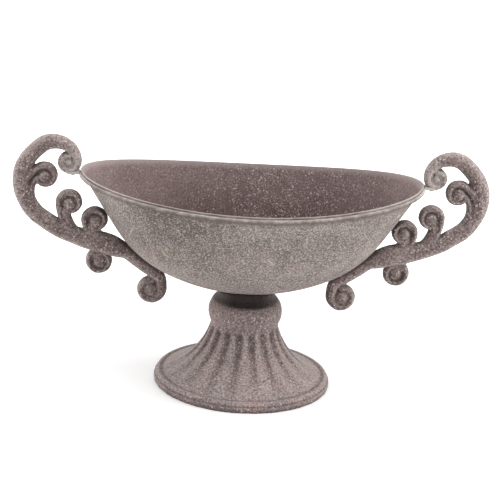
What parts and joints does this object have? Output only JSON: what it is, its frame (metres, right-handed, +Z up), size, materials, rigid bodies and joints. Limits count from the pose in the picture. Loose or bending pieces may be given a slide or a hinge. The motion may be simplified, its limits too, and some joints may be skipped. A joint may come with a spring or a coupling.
{
  "type": "pedestal planter",
  "caption": "Oval metal planter bowl with raised tips and a rod under its rim, on a hollow fluted pedestal foot, with a cast scroll handle at each end; it holds plants.",
  "frame": {"origin": "centre of the foot's ring on the floor", "axes": "+X along the bowl towards the right-hand handle, +Y across the bowl to the back, +Z up"},
  "size_m": [0.5296, 0.22, 0.28],
  "materials": {
    "bowl_sheet": "chalky antiqued paint, grainy",
    "rim_trim": "chalky antiqued paint, rubbed pale",
    "handle_casting": "sand-cast, antiqued, rubbed pale on top",
    "foot_casting": "sand-cast, antiqued, rust-pink patches",
    "zinc_steel": "dull zinc plate",
    "seal_rubber": "matt"
  },
  "bodies": {
    "root": {"bowl_shell": "bowl_sheet", "rim_rod": "rim_trim", "left_rim_tab": "rim_trim", "right_rim_tab": "rim_trim", "left_handle": "handle_casting", "right_handle": "handle_casting", "pedestal_foot": "foot_casting", "left_tab_screw": "zinc_steel", "right_tab_screw": "zinc_steel", "left_handle_screws": "zinc_steel", "right_handle_screws": "zinc_steel", "centre_bolt": "zinc_steel", "bolt_washer": "zinc_steel", "foot_washer": "zinc_steel", "spring_washer": "zinc_steel", "hex_nut": "zinc_steel", "left_screw_seals": "seal_rubber", "right_screw_seals": "seal_rubber", "bolt_seal": "seal_rubber"}
  },
  "joints": []
}
